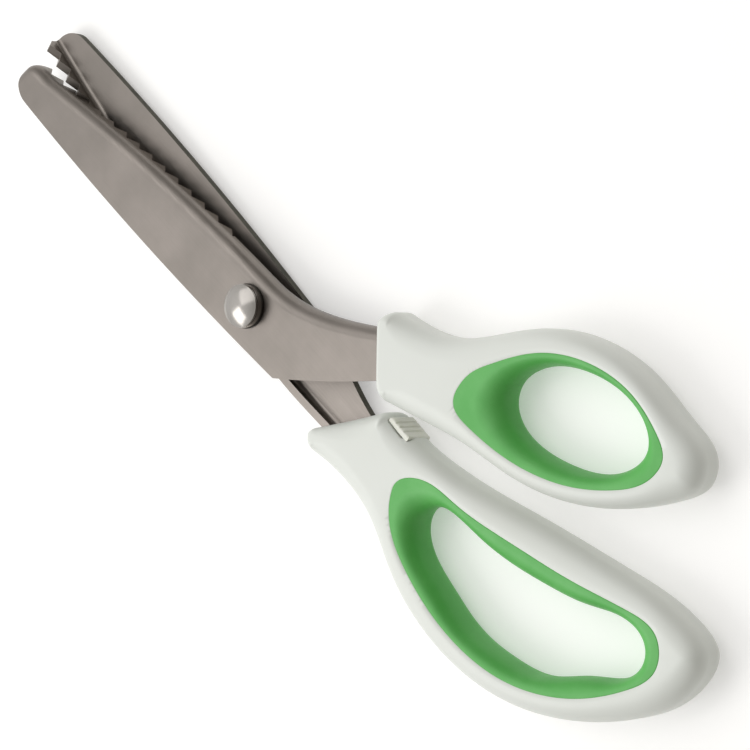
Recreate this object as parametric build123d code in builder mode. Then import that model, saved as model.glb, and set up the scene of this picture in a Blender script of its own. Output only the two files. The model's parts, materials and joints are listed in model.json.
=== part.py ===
"""Pinking shears: two pressed steel blades with meshing zigzag edges on one pivot, and two loop handles.

Millimetres. The pivot axis is Z through the origin, and Z = 0 is the plane that the pivot nut rests on.
+X runs from the pivot to the blade tips, along the line where the blades close. The front blade is the upper
one, with the domed pivot head, and its handle is the thumb ring. The rear blade is the same pressing turned
over, with the longer finger bow as its handle. The model stands slightly open, as the shears lie when they
are put down.
"""

from build123d import *
from math import ceil
import os

os.makedirs("parts", exist_ok=True)

# ---------------------------------------------------------------- driving dimensions

# Blade pressings. A blade's own frame has X to the tip and Y up from the closing line.
sheet = 1.8  # thickness of the steel
plate_gap = 5.0  # between the facing sides of the two flat plates
bend_radius = 3.0  # outside radius of the bend from the plate into the toothed flange
blade_reach = 94.3  # pivot to the tip
edge_belly = 5.4  # closing line to the outside of the flange, at belly_place
belly_place = 50.0
spine_height = 9.0  # closing line to the spine, at spine_place
spine_place = 36.0
heel_length = 16.0  # pivot back to the heel, where the spine ends
heel_drop = 1.3  # the heel is this much lower than the top of the spine
rest_angle = 1.5  # each blade's turn away from the closing line as the shears lie

# Rounded nose of a blade, from the spine down to the edge, as places (behind the tip, above the closing line)
nose_start = (6.3, 7.6)
nose_shoulder = (1.9, 5.9)
nose_tip = (0.0, 2.8)
nose_chin = (0.2, 1.2)
nose_end = (1.3, -0.2)

# Tangs: the straps that run back from the blades into the handles
tang_length = 19.0  # how far each tang runs on inside its collar
tang_outer = 5.0  # seat to the flange's outside where the tang begins
tang_outer_start = 2.5  # ahead of the seat
tang_end_outer = 3.6
tang_end_inner = 3.2
front_tang_inner = 6.2  # seat to the plate's free edge, front blade
rear_tang_inner = 5.3
front_neck = [(-9.8, -9.2), (-21.9, -13.9)]  # the flange's outside passes here between the edge and the tang
rear_neck = [(-15, -8.5)]

# Zigzag teeth, cut as rings about the pivot so that they mesh at any opening
tooth_pitch = 5.0
tooth_depth = 2.2  # crest to root, along the pivot axis
tooth_clearance = 0.1  # between the two meshing zigzags, along the pivot axis
first_crest = 17.7  # radius of the innermost crest
heel_relief = 0.4  # the flanges stop this far from the middle plane behind the teeth
tooth_sector_start = 50  # degrees below the blade's own line where the cutting rings begin
tooth_sector = 60  # degrees that the cutting rings sweep

# Pivot
running_gap = 0.05  # between faces and round bores that turn on each other
shank_radius = 3.0
neck_step = 0.6  # the keyed neck under the front plate is this much larger than the shank
key_step = 0.1  # the neck's two flats stand this far outside the shank
thread_step = 0.6  # the thread is this much smaller than the shank
thread_chamfer = 0.3
nut_thickness = 1.5
nut_wall = 2.3  # thread to the outside of the nut
nut_chamfer = 0.35
nut_slot_width = 1.6
nut_slot_depth = 0.9
nut_slot_wall = 0.8  # left between a spanner slot and the thread
head_overhang = 1.3  # the head is this much larger than the neck
head_rim_height = 1.1
head_groove = 0.2  # depth and height of the groove under the dome
dome_inset = 0.1  # the dome's edge stands this far inside the rim
dome_edge_height = 0.45
dome_rise = 1.4
head_washer_margin = 0.15  # the washer shows this much round the head
head_washer_thickness = 0.8
head_washer_rounding = 0.25
sleeve_wall = 1.15
friction_washer_margin = 0.7  # beyond the sleeve
friction_washer_room = 0.1  # from the washers to where the flange's bend begins
friction_washer_thickness = 0.5
spring_washer_thickness = 0.3
spring_washer_cone = 0.2

# Handles
handle_thickness = 10.8
rim_radius = 2.8  # rounding of both outer rims
hole_radius = 2.6  # rounding of both openings
collar_corner_radius = 3.0
finger_seat = (-37.0, -2.5)  # middle of the rear tang where it enters its collar, in the blade's own frame
thumb_seat = (-37.0, -17.0)  # the same on the front blade
thumb_turn = 35.0  # direction of the front tang

# Bumper, placed from the finger handle's seat
bumper_place = -13.2
bumper_length = 6.6
bumper_height = 7.4
bumper_depth = 4.6
bumper_reach = 12.5  # the bumper's face, across from the seat
bumper_rounding = 0.5
rib_groove_radius = 0.3
rib_pitch = 1.4
rib_grooves = 3

# ---------------------------------------------------------------- outlines, each in its handle's own frame
# The handle's frame has its origin at the seat, +X along the tang towards the pivot.

finger_outer = [
    (9.2, -11),
    (-4, -7.9),
    (-18, -8.1),
    (-33, -13.5),
    (-51, -15.8),
    (-69.9, -11.7),
    (-85.1, -2.2),
    (-96.3, 10.3),
    (-101.5, 22.9),
    (-99.4, 31.7),
    (-91.5, 33.4),
    (-73, 29.2),
    (-53, 22.6),
    (-35, 16.3),
    (-21, 12.8),
    (-7.8, 12.1),
]
finger_green = [
    (-21.4, 2.1),
    (-25.5, -3.6),
    (-36.2, -8.3),
    (-52, -10.1),
    (-69, -6.7),
    (-82, 1.6),
    (-92.1, 14.6),
    (-94.2, 22.9),
    (-90, 27.6),
    (-81.5, 26.5),
    (-67.8, 21.1),
    (-52, 16),
    (-36, 11.7),
    (-24.6, 8.3),
]
finger_hole = [
    (-28.8, 1.7),
    (-31.3, -2.4),
    (-39.3, -5.5),
    (-51, -7.1),
    (-62, -5.9),
    (-74.1, -0.4),
    (-84.5, 9.9),
    (-90.1, 17.7),
    (-88.9, 22.3),
    (-83.1, 23.5),
    (-73.1, 18.8),
    (-60, 13.1),
    (-46, 9.4),
    (-33.6, 7.3),
    (-29.8, 4.6),
]
thumb_outer = [
    (0.9, 10.4),
    (-10.8, 14.2),
    (-22.7, 18.2),
    (-35.8, 23.9),
    (-49.3, 27.2),
    (-64.1, 27),
    (-76.2, 23.9),
    (-81, 21),
    (-82.1, 15.2),
    (-76.2, 8.1),
    (-66.2, -0.5),
    (-54.2, -6.3),
    (-40.6, -7.8),
    (-28.3, -5.6),
    (-16.8, -4.3),
    (-8, -6.1),
    (2.1, -10.8),
]
thumb_green = [
    (-21.7, 6.1),
    (-20.9, 9.7),
    (-25.5, 14.2),
    (-37.2, 20.2),
    (-49.7, 23.4),
    (-63, 23.2),
    (-71.9, 19.8),
    (-74.2, 16.1),
    (-72, 10.5),
    (-65, 3.1),
    (-54, -1.9),
    (-41.2, -2.7),
    (-29.4, 0.6),
]
thumb_hole = [
    (-32.9, 4.6),
    (-31.6, 8.6),
    (-35.2, 13.4),
    (-43.2, 18.5),
    (-53.8, 20.7),
    (-63.3, 19.1),
    (-68.3, 15.8),
    (-67.8, 9.4),
    (-60.5, 3.3),
    (-51.4, 0.1),
    (-42.2, 0),
    (-35.9, 2.6),
]

# ---------------------------------------------------------------- derived places

plate_inner = plate_gap / 2
plate_outer = plate_inner + sheet
middle = nut_thickness + running_gap + plate_outer
handle_half = handle_thickness / 2
tooth_count = ceil((blade_reach - first_crest) / tooth_pitch) + 1
bore_radius = shank_radius + running_gap
neck_radius = shank_radius + neck_step
key_width = 2 * (shank_radius + key_step)
thread_radius = shank_radius - thread_step
nut_radius = thread_radius + nut_wall
head_radius = neck_radius + head_overhang
sleeve_radius = bore_radius + sleeve_wall
friction_washer_radius = sleeve_radius + friction_washer_margin
# Closing line to the outside of the flange, at the pivot.
edge_offset = friction_washer_radius + friction_washer_room + bend_radius
heel = (-heel_length, spine_height - heel_drop)
overshoot = 8.0  # how far cutting shapes run past what they cut

# The rear blade's frame is the front one's turned over about X, so one pressing serves both.
closing_line = Plane.XY.offset(middle)
front_frame = closing_line.rotated((0, 0, rest_angle))
rear_frame = closing_line.rotated((180, 0, 0)).rotated((0, 0, -rest_angle))


def handle_frame(blade_frame, seat, turn):
    """A blade's frame moved to its handle's seat and turned along the tang."""
    return Plane(
        origin=blade_frame.from_local_coords(Vector(*seat)),
        x_dir=blade_frame.x_dir.rotate(Axis((0, 0, 0), blade_frame.z_dir), turn),
        z_dir=blade_frame.z_dir,
    )


finger_frame = handle_frame(rear_frame, finger_seat, 0)
thumb_frame = handle_frame(front_frame, thumb_seat, thumb_turn)


def seat_to_blade(seat, turn, point):
    """A point given in a handle's frame, in its blade's frame."""
    return Vector(*point).rotate(Axis.Z, turn) + Vector(*seat)


def nose_point(place):
    """A point of the nose in the blade's frame."""
    behind, above = place
    return (blade_reach - behind, above)


# ---------------------------------------------------------------- the pressed blade


def flange_line(seat, turn, neck):
    """The outside of the flange from the tip to the tang's end: edge, neck and tang."""
    mouth = seat_to_blade(seat, turn, (tang_outer_start, -tang_outer))
    end = seat_to_blade(seat, turn, (-tang_length, -tang_end_outer))
    pivot_side = (0, -edge_offset)
    edge = ThreePointArc(nose_point(nose_end), (belly_place, -edge_belly), pivot_side, mode=Mode.PRIVATE)
    ends = (edge % 1, (end - mouth).normalized())
    curve = Spline(pivot_side, *neck, mouth, tangents=ends, mode=Mode.PRIVATE)
    return edge, curve, Line(mouth, end, mode=Mode.PRIVATE)


def inset(line, share):
    """The point one sheet thickness inside the flange, at a share of a flange line's length."""
    return line @ share + (line % share).rotate(Axis.Z, -90) * sheet


def draw_blank(seat, turn, neck, tang_inner):
    """The flat outline of a blade and its tang, in the blade's frame, drawn into the open BuildLine."""
    edge, curve, tang = flange_line(seat, turn, neck)
    ThreePointArc(heel, (spine_place, spine_height), nose_point(nose_start))
    ThreePointArc(nose_point(nose_start), nose_point(nose_shoulder), nose_point(nose_tip))
    ThreePointArc(nose_point(nose_tip), nose_point(nose_chin), edge @ 0)
    add([edge, curve, tang])
    end_inner = seat_to_blade(seat, turn, (-tang_length, tang_end_inner))
    mouth_inner = seat_to_blade(seat, turn, (0, tang_inner))
    Polyline(tang @ 1, end_inner, mouth_inner, heel)


def draw_hollow(seat, turn, neck):
    """The outline of the hollow behind the flange, open past the tip, the spine and the tang's end."""
    edge, curve, tang = flange_line(seat, turn, neck)
    inner_edge = ThreePointArc(inset(edge, 0), inset(edge, 0.5), inset(edge, 1))
    bends = [inset(curve, share) for share in (0, 0.25, 0.5, 0.75, 1)]
    Spline(*bends, tangents=(edge % 1, curve % 1))
    tang_end = inset(tang, 1) + (tang % 1) * overshoot
    Line(bends[-1], tang_end)
    tip = inner_edge @ 0 - (inner_edge % 0) * overshoot
    above = spine_height + tang_length
    behind = seat[0] - tang_length - 4 * overshoot
    Polyline(tang_end, (behind, above), (blade_reach + overshoot, above), tip, inner_edge @ 0)


def tooth_cutter(frame, low, zigzag_sign):
    """What is cut away beyond the zigzag, in rings about the pivot."""
    start = frame.x_dir.rotate(Axis((0, 0, 0), frame.z_dir), -tooth_sector_start)
    profile_plane = Plane(origin=frame.origin, x_dir=start, z_dir=start.cross(frame.z_dir))
    signs = [zigzag_sign * (1 - 2 * (i % 2)) for i in range(2 * tooth_count)]
    zigzag = [
        (first_crest + i * tooth_pitch / 2, (sign * tooth_depth + tooth_clearance) / 2)
        for i, sign in enumerate(signs)
    ]
    with BuildPart() as cutter:
        with BuildSketch(profile_plane):
            with BuildLine():
                Polyline((zigzag[0][0], low), *zigzag, (zigzag[-1][0], low), close=True)
            make_face()
        revolve(axis=Axis(frame.origin, frame.z_dir), revolution_arc=tooth_sector)
    return cutter.part


def pressed_blade(frame, seat, turn, neck, tang_inner, zigzag_sign):
    """A blade blank: plate, bend, toothed flange and tang, with no pivot hole.

    frame has its origin on the pivot in the middle plane, with +Z towards this blade's own plate.
    """
    low = -tooth_depth
    cutter = tooth_cutter(frame, low - overshoot, zigzag_sign)
    with BuildPart() as hollow:
        with BuildSketch(frame.offset(low - overshoot)):
            with BuildLine():
                draw_hollow(seat, turn, neck)
            make_face()
        extrude(amount=plate_inner - low + overshoot)
        near_edge = frame.from_local_coords(Vector(belly_place, sheet - edge_belly, plate_inner))
        inside_bend = hollow.edges().sort_by_distance(near_edge)[0]
        fillet(inside_bend, bend_radius - sheet)
    with BuildPart() as blade:
        with BuildSketch(frame.offset(low)):
            with BuildLine():
                draw_blank(seat, turn, neck, tang_inner)
            make_face()
        extrude(amount=plate_outer - low)
        near_edge = frame.from_local_coords(Vector(belly_place, -edge_belly, plate_outer))
        outside_bend = blade.edges().sort_by_distance(near_edge)[0]
        fillet(outside_bend, bend_radius)
        add(hollow.part, mode=Mode.SUBTRACT)
        add(cutter, mode=Mode.SUBTRACT)
        # Behind the teeth the flange keeps clear of the middle plane.
        with BuildSketch(frame.offset(low - overshoot)):
            Circle(first_crest)
            with Locations((-blade_reach, 0)):
                Rectangle(2 * blade_reach, 2 * blade_reach)
        extrude(amount=heel_relief - low + overshoot, mode=Mode.SUBTRACT)
    return blade.part


def draw_key():
    """The two-sided key of the screw's neck, drawn into the open BuildSketch."""
    Circle(neck_radius)
    Rectangle(2 * neck_radius, key_width, mode=Mode.INTERSECT)


# ---------------------------------------------------------------- front blade

with BuildPart() as front_blade:
    add(pressed_blade(front_frame, thumb_seat, thumb_turn, front_neck, front_tang_inner, 1))
    with BuildSketch(front_frame.offset(plate_inner)):
        draw_key()
    extrude(amount=sheet, mode=Mode.SUBTRACT)
front_blade.part.label = "front_blade"
export_step(front_blade.part, "parts/front_blade.step")

# ---------------------------------------------------------------- rear blade

with BuildPart() as rear_blade:
    add(pressed_blade(rear_frame, finger_seat, 0, rear_neck, rear_tang_inner, -1))
    with BuildSketch(rear_frame.offset(plate_inner)):
        Circle(bore_radius)
    extrude(amount=sheet, mode=Mode.SUBTRACT)
rear_blade.part.label = "rear_blade"
export_step(rear_blade.part, "parts/rear_blade.step")

# ---------------------------------------------------------------- pivot hardware, from the top down

plate_top = middle + plate_outer
washer_top = plate_top + head_washer_thickness
rim_top = washer_top + head_rim_height
dome_foot = rim_top + head_groove
dome_shoulder = dome_foot + dome_edge_height
front_washer_low = middle + plate_inner - friction_washer_thickness
cone_low = front_washer_low - spring_washer_thickness - spring_washer_cone
rear_washer_low = middle - plate_inner + running_gap
rear_washer_high = rear_washer_low + friction_washer_thickness


def turned(points):
    """The solid that a closed outline of radius and height points makes when it is turned about the pivot."""
    with BuildPart() as piece:
        with BuildSketch(Plane.XZ):
            with BuildLine():
                Polyline(*points, close=True)
            make_face()
        revolve(axis=Axis.Z)
    return piece.part


def ring(inner, outer, low, high):
    """A flat ring about the pivot."""
    return turned([(inner, low), (outer, low), (outer, high), (inner, high)])


with BuildPart() as pivot_screw:
    with BuildSketch(Plane.XZ):
        with BuildLine():
            apex = (0, dome_shoulder + dome_rise)
            dome_edge = head_radius - dome_inset
            Polyline(
                apex,
                (0, 0),
                (thread_radius - thread_chamfer, 0),
                (thread_radius, thread_chamfer),
                (thread_radius, nut_thickness),
                (shank_radius, nut_thickness),
                (shank_radius, washer_top),
                (head_radius, washer_top),
                (head_radius, rim_top),
                (head_radius - head_groove, rim_top),
                (head_radius - head_groove, dome_foot),
                (dome_edge, dome_foot),
                (dome_edge, dome_shoulder),
            )
            TangentArc(apex, (dome_edge, dome_shoulder), tangent=(1, 0))
        make_face()
    revolve(axis=Axis.Z)
    with BuildSketch(front_frame.offset(plate_inner + running_gap)):
        draw_key()
    extrude(amount=sheet + head_washer_thickness - running_gap)
pivot_screw.part.label = "pivot_screw"
export_step(pivot_screw.part, "parts/pivot_screw.step")

with BuildPart() as head_washer:
    add(ring(neck_radius, head_radius + head_washer_margin, plate_top, washer_top))
    fillet(head_washer.edges().sort_by(Axis.Z)[-1:], head_washer_rounding)
head_washer.part.label = "head_washer"
export_step(head_washer.part, "parts/head_washer.step")

with BuildPart() as front_friction_washer:
    front_washer_high = front_washer_low + friction_washer_thickness
    add(ring(bore_radius, friction_washer_radius, front_washer_low, front_washer_high))
front_friction_washer.part.label = "front_friction_washer"
export_step(front_friction_washer.part, "parts/front_friction_washer.step")

with BuildPart() as spring_washer:
    add(
        turned(
            [
                (bore_radius, cone_low),
                (sleeve_radius, cone_low + spring_washer_cone),
                (sleeve_radius, front_washer_low),
                (bore_radius, front_washer_low - spring_washer_cone),
            ]
        )
    )
spring_washer.part.label = "spring_washer"
export_step(spring_washer.part, "parts/spring_washer.step")

with BuildPart() as rear_friction_washer:
    add(ring(bore_radius, friction_washer_radius, rear_washer_low, rear_washer_high))
rear_friction_washer.part.label = "rear_friction_washer"
export_step(rear_friction_washer.part, "parts/rear_friction_washer.step")

with BuildPart() as spacer_sleeve:
    add(ring(bore_radius, sleeve_radius, rear_washer_high, cone_low))
spacer_sleeve.part.label = "spacer_sleeve"
export_step(spacer_sleeve.part, "parts/spacer_sleeve.step")

with BuildPart() as pivot_nut:
    add(ring(thread_radius, nut_radius, 0, nut_thickness))
    lower_rims = pivot_nut.edges().filter_by(GeomType.CIRCLE).group_by(Axis.Z)[0]
    chamfer(lower_rims.sort_by(SortBy.RADIUS)[-1], nut_chamfer)
    with BuildSketch(Plane.XY):
        with PolarLocations(nut_radius, 2):
            Rectangle(2 * (nut_wall - nut_slot_wall), nut_slot_width)
    extrude(amount=nut_slot_depth, mode=Mode.SUBTRACT)
pivot_nut.part.label = "pivot_nut"
export_step(pivot_nut.part, "parts/pivot_nut.step")

# ---------------------------------------------------------------- handles


def loop_form(frame, outline, hole):
    """The whole outer shape of a handle, collar and loop together, with both rims rounded."""
    with BuildPart() as form:
        with BuildSketch(frame.offset(-handle_half)):
            with BuildLine():
                rim = Spline(*outline)
                Line(rim @ 1, rim @ 0)
            make_face()
        extrude(amount=handle_thickness)
        fillet(form.edges().filter_by(Axis.Z), collar_corner_radius)
        fillet(form.faces().filter_by(Axis.Z).edges(), rim_radius)
        with BuildSketch(frame.offset(-handle_half)):
            with BuildLine():
                Spline(*hole, periodic=True)
            make_face()
        extrude(amount=handle_thickness, mode=Mode.SUBTRACT)
        flats = form.faces().filter_by(Axis.Z)
        opening_edges = [edge for flat in flats for wire in flat.inner_wires() for edge in wire.edges()]
        fillet(opening_edges, hole_radius)
    return form.part


def grip_prism(frame, outline):
    """The straight-sided space that a green insert takes up, taller than the handle."""
    with BuildPart() as prism:
        with BuildSketch(frame.offset(-handle_half - overshoot)):
            with BuildLine():
                Spline(*outline, periodic=True)
            make_face()
        extrude(amount=handle_thickness + 2 * overshoot)
    return prism.part


finger_form = loop_form(finger_frame, finger_outer, finger_hole)
finger_prism = grip_prism(finger_frame, finger_green)
thumb_form = loop_form(thumb_frame, thumb_outer, thumb_hole)
thumb_prism = grip_prism(thumb_frame, thumb_green)

# The bumper: a small clear block let into the side of the finger handle, where the thumb ring meets it.
with BuildPart() as bumper_block:
    with BuildSketch(finger_frame.offset(-bumper_height / 2)):
        with Locations((bumper_place, bumper_reach - bumper_depth / 2)):
            Rectangle(bumper_length, bumper_depth)
    extrude(amount=bumper_height)

with BuildPart() as stop_bumper:
    add(bumper_block.part)
    outward = Axis(finger_frame.origin, finger_frame.y_dir)
    fillet(stop_bumper.faces().sort_by(outward)[-1].edges(), bumper_rounding)
    with BuildSketch(finger_frame.offset(-bumper_height / 2)):
        with Locations((bumper_place, bumper_reach)):
            with GridLocations(rib_pitch, 0, rib_grooves, 1):
                Circle(rib_groove_radius)
    extrude(amount=bumper_height, mode=Mode.SUBTRACT)
stop_bumper.part.label = "stop_bumper"
export_step(stop_bumper.part, "parts/stop_bumper.step")

with BuildPart() as finger_handle:
    add(finger_form)
    add(finger_prism, mode=Mode.SUBTRACT)
    add(rear_blade.part, mode=Mode.SUBTRACT)
    add(bumper_block.part, mode=Mode.SUBTRACT)
finger_handle.part.label = "finger_handle"
export_step(finger_handle.part, "parts/finger_handle.step")

with BuildPart() as finger_grip:
    add(finger_form)
    add(finger_prism, mode=Mode.INTERSECT)
finger_grip.part.label = "finger_grip"
export_step(finger_grip.part, "parts/finger_grip.step")

with BuildPart() as thumb_handle:
    add(thumb_form)
    add(thumb_prism, mode=Mode.SUBTRACT)
    add(front_blade.part, mode=Mode.SUBTRACT)
thumb_handle.part.label = "thumb_handle"
export_step(thumb_handle.part, "parts/thumb_handle.step")

with BuildPart() as thumb_grip:
    add(thumb_form)
    add(thumb_prism, mode=Mode.INTERSECT)
thumb_grip.part.label = "thumb_grip"
export_step(thumb_grip.part, "parts/thumb_grip.step")
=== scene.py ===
"""Looks of the pinking shears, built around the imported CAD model.

The two pressed blades are modelled again with clean bends and deburred edges, and the two moulded handles
and their soft inserts with wide rims and rounded openings. All six take their outlines from sections through
the CAD nodes. The pivot's pieces and the bumper stay as the CAD has them and get their finishes here.
"""

from __future__ import annotations

import json
import logging
import math
from dataclasses import dataclass, field
from enum import Enum

import bpy
import numpy as np
from mathutils import Matrix, Vector

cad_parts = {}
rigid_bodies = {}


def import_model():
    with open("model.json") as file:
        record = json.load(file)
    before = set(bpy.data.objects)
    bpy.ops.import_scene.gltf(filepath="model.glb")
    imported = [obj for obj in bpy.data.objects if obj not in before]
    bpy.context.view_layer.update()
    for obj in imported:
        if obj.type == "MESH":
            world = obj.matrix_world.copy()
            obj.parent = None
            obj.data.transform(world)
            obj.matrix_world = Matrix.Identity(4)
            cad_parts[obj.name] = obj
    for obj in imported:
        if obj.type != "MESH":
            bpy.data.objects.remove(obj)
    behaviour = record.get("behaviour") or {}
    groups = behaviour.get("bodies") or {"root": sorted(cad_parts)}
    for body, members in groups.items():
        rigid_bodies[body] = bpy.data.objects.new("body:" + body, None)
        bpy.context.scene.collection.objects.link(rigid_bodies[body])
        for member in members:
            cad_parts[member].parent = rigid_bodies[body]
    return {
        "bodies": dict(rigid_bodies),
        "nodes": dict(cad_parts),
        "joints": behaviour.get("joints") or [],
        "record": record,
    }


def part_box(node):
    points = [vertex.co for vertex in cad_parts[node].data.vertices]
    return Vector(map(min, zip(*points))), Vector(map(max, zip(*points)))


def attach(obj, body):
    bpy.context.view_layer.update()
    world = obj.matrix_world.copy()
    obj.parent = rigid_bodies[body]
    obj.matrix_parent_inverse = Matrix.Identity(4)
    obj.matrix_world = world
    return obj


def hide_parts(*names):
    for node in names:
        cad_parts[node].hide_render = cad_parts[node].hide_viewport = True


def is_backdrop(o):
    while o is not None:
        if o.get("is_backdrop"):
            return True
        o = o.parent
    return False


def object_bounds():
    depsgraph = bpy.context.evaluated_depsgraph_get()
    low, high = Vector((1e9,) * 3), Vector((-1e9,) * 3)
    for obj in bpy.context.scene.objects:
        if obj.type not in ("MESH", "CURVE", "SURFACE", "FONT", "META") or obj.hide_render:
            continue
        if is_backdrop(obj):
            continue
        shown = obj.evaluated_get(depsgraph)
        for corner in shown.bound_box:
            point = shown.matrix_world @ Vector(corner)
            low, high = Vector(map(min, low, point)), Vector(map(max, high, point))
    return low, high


LOG = logging.getLogger("pinking_shears")
MM = 0.001
MERGE = 0.001 * MM  # points nearer to each other than this are one point


# ------------------------------------------------------------------------------------------ small helpers


def hex_to_linear(code: str) -> tuple[float, float, float, float]:
    """Turns an sRGB hex colour into linear RGBA.

    Args:
        code: six hex digits, with or without a leading hash.

    Returns:
        Red, green and blue in linear light, and an alpha of one.
    """
    digits = code.lstrip("#")
    channels = [int(digits[i : i + 2], 16) / 255 for i in (0, 2, 4)]
    linear = [c / 12.92 if c <= 0.04045 else ((c + 0.055) / 1.055) ** 2.4 for c in channels]
    return (linear[0], linear[1], linear[2], 1.0)


def add_node(tree: bpy.types.NodeTree, kind: str, inputs: dict | None = None, **settings) -> bpy.types.Node:
    """Adds a node, with its settings and what goes into it.

    Args:
        tree: the node tree that the node joins.
        kind: Blender's name for the node's type.
        inputs: input name or number to a value, or to the output socket that feeds it.
        settings: properties of the node itself.

    Returns:
        The new node.
    """
    node = tree.nodes.new(kind)
    for key, value in settings.items():
        setattr(node, key, value)
    for key, value in (inputs or {}).items():
        if isinstance(value, bpy.types.NodeSocket):
            tree.links.new(value, node.inputs[key])
        else:
            node.inputs[key].default_value = value
    return node


def deselect_all() -> None:
    """Deselects every object."""
    for other in bpy.context.scene.objects:
        other.select_set(False)


def only(piece: bpy.types.Object) -> None:
    """Selects one object, makes it active and deselects all others.

    Args:
        piece: the object.
    """
    deselect_all()
    piece.select_set(True)
    bpy.context.view_layer.objects.active = piece


def set_material(piece: bpy.types.Object, material: bpy.types.Material) -> None:
    """Gives a piece one material all over."""
    piece.data.materials.clear()
    piece.data.materials.append(material)


def turn_outwards() -> None:
    """Turns all faces of the mesh being edited outwards and leaves edit mode."""
    bpy.ops.mesh.select_all(action="SELECT")
    bpy.ops.mesh.normals_make_consistent(inside=False)
    bpy.ops.object.mode_set(mode="OBJECT")


def copy_of(node: bpy.types.Object, name: str) -> bpy.types.Object:
    """A loose copy of a CAD node with its doubled points merged, for cutting or measuring with.

    Args:
        node: the CAD node, which stays as it is.
        name: the copy's name.

    Returns:
        The copy.
    """
    copy = bpy.data.objects.new(name, node.data.copy())
    bpy.context.scene.collection.objects.link(copy)
    only(copy)
    bpy.ops.object.mode_set(mode="EDIT")
    bpy.ops.mesh.select_all(action="SELECT")
    bpy.ops.mesh.remove_doubles(threshold=MERGE)
    bpy.ops.object.mode_set(mode="OBJECT")
    return copy


# ------------------------------------------------------------------------------------------ outlines


def cut_loops(node: bpy.types.Object, height: float) -> list[np.ndarray]:
    """Cuts a CAD node by a level plane and reads the outlines of the cut.

    Args:
        node: the CAD node, which stays as it is.
        height: the plane's height, in metres.

    Returns:
        The closed outlines as plan points, longest first, each running anticlockwise.
    """
    section = copy_of(node, "section")
    bpy.ops.object.mode_set(mode="EDIT")
    bpy.ops.mesh.select_all(action="SELECT")
    plane = {"plane_co": (0, 0, height), "plane_no": (0, 0, 1)}
    bpy.ops.mesh.bisect(**plane, clear_inner=True, clear_outer=True)
    bpy.ops.mesh.select_all(action="SELECT")
    bpy.ops.mesh.remove_doubles(threshold=0.002 * MM)
    bpy.ops.object.mode_set(mode="OBJECT")
    beside: dict[int, list[int]] = {}
    for edge in section.data.edges:
        a, b = edge.vertices
        beside.setdefault(a, []).append(b)
        beside.setdefault(b, []).append(a)
    places = {v.index: (v.co.x, v.co.y) for v in section.data.vertices}
    loops = []
    while beside:
        start = next(iter(beside))
        chain = [start]
        while True:
            onward = [p for p in beside.pop(chain[-1], []) if p in beside]
            if not onward:
                break
            chain.append(onward[0])
        loops.append(np.array([places[p] for p in chain]))
    bpy.data.objects.remove(section)
    corners = np.unique(np.round([v.co[:2] for v in node.data.vertices], 7), axis=0)
    loops = [loop[nearest(loop, corners) < 0.01 * MM] for loop in loops]
    loops = [loop if signed_area(loop) > 0 else loop[::-1] for loop in loops if len(loop) > 8]
    return sorted((spaced(loop, 0.02 * MM) for loop in loops), key=lambda loop: -run_length(loop)[-1])


def spaced(loop: np.ndarray, least: float) -> np.ndarray:
    """A closed outline without the points that stand closer than the least distance to the one before.

    Args:
        loop: the outline's points, in order.
        least: the least distance, in metres.

    Returns:
        The points that are kept.
    """
    kept = [loop[0]]
    for point in loop[1:]:
        if math.dist(point, kept[-1]) > least:
            kept.append(point)
    if math.dist(kept[0], kept[-1]) < least:
        kept.pop()
    return np.array(kept)


def turning(loop: np.ndarray) -> np.ndarray:
    """The angle in radians by which a closed outline turns at each point, positive to the left.

    Args:
        loop: the outline's points, in order.

    Returns:
        One angle for each point.
    """
    into = loop - np.roll(loop, 1, axis=0)
    out = np.roll(loop, -1, axis=0) - loop
    return np.arctan2(into[:, 0] * out[:, 1] - into[:, 1] * out[:, 0], (into * out).sum(axis=1))


def split_runs(loop: np.ndarray, degrees: float = 22.0) -> list[np.ndarray]:
    """Splits a closed outline at its sharp corners.

    Args:
        loop: the outline's points.
        degrees: a point is a corner if the outline turns by more than this there.

    Returns:
        The runs from corner to corner, each with both of its corners.
    """
    corners = np.flatnonzero(np.abs(turning(loop)) > math.radians(degrees))
    turned = np.roll(loop, -corners[0], axis=0)
    places = np.append(corners - corners[0], len(loop))
    closed = np.vstack([turned, turned[:1]])
    return [closed[a : b + 1] for a, b in zip(places[:-1], places[1:])]


def smooth_run(run: np.ndarray, spacing: float) -> np.ndarray:
    """Evenly spaced points along a smooth open curve through a run's points, with both ends kept.

    Args:
        run: the run's points, in order.
        spacing: about how far apart the new points are, in metres.

    Returns:
        The new points.
    """
    place = np.concatenate([[0.0], np.cumsum(np.hypot(*np.diff(run, axis=0).T))])
    count = max(int(round(place[-1] / spacing)), 1)
    if len(run) == 2:
        return run[0] + (run[1] - run[0]) * np.linspace(0, 1, count + 1)[:, None]
    slopes = np.gradient(run, place, axis=0, edge_order=2 if len(run) > 2 else 1)
    wanted = np.linspace(0, place[-1], count + 1)
    index = np.clip(np.searchsorted(place, wanted, side="right") - 1, 0, len(run) - 2)
    gap = (place[index + 1] - place[index])[:, None]
    share = (wanted - place[index])[:, None] / gap
    square, cube = share**2, share**3
    return (
        (2 * cube - 3 * square + 1) * run[index]
        + (cube - 2 * square + share) * slopes[index] * gap
        + (3 * square - 2 * cube) * run[index + 1]
        + (cube - square) * slopes[index + 1] * gap
    )


def signed_area(loop: np.ndarray) -> float:
    """The area inside a closed plan outline, positive when it runs anticlockwise."""
    onward = np.roll(loop, -1, axis=0)
    return float((loop[:, 0] * onward[:, 1] - onward[:, 0] * loop[:, 1]).sum() / 2)


def run_length(loop: np.ndarray) -> np.ndarray:
    """How far along a closed outline each of its points is, with the whole length last."""
    steps = np.hypot(*(np.roll(loop, -1, axis=0) - loop).T)
    return np.concatenate([[0.0], np.cumsum(steps)])


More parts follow.
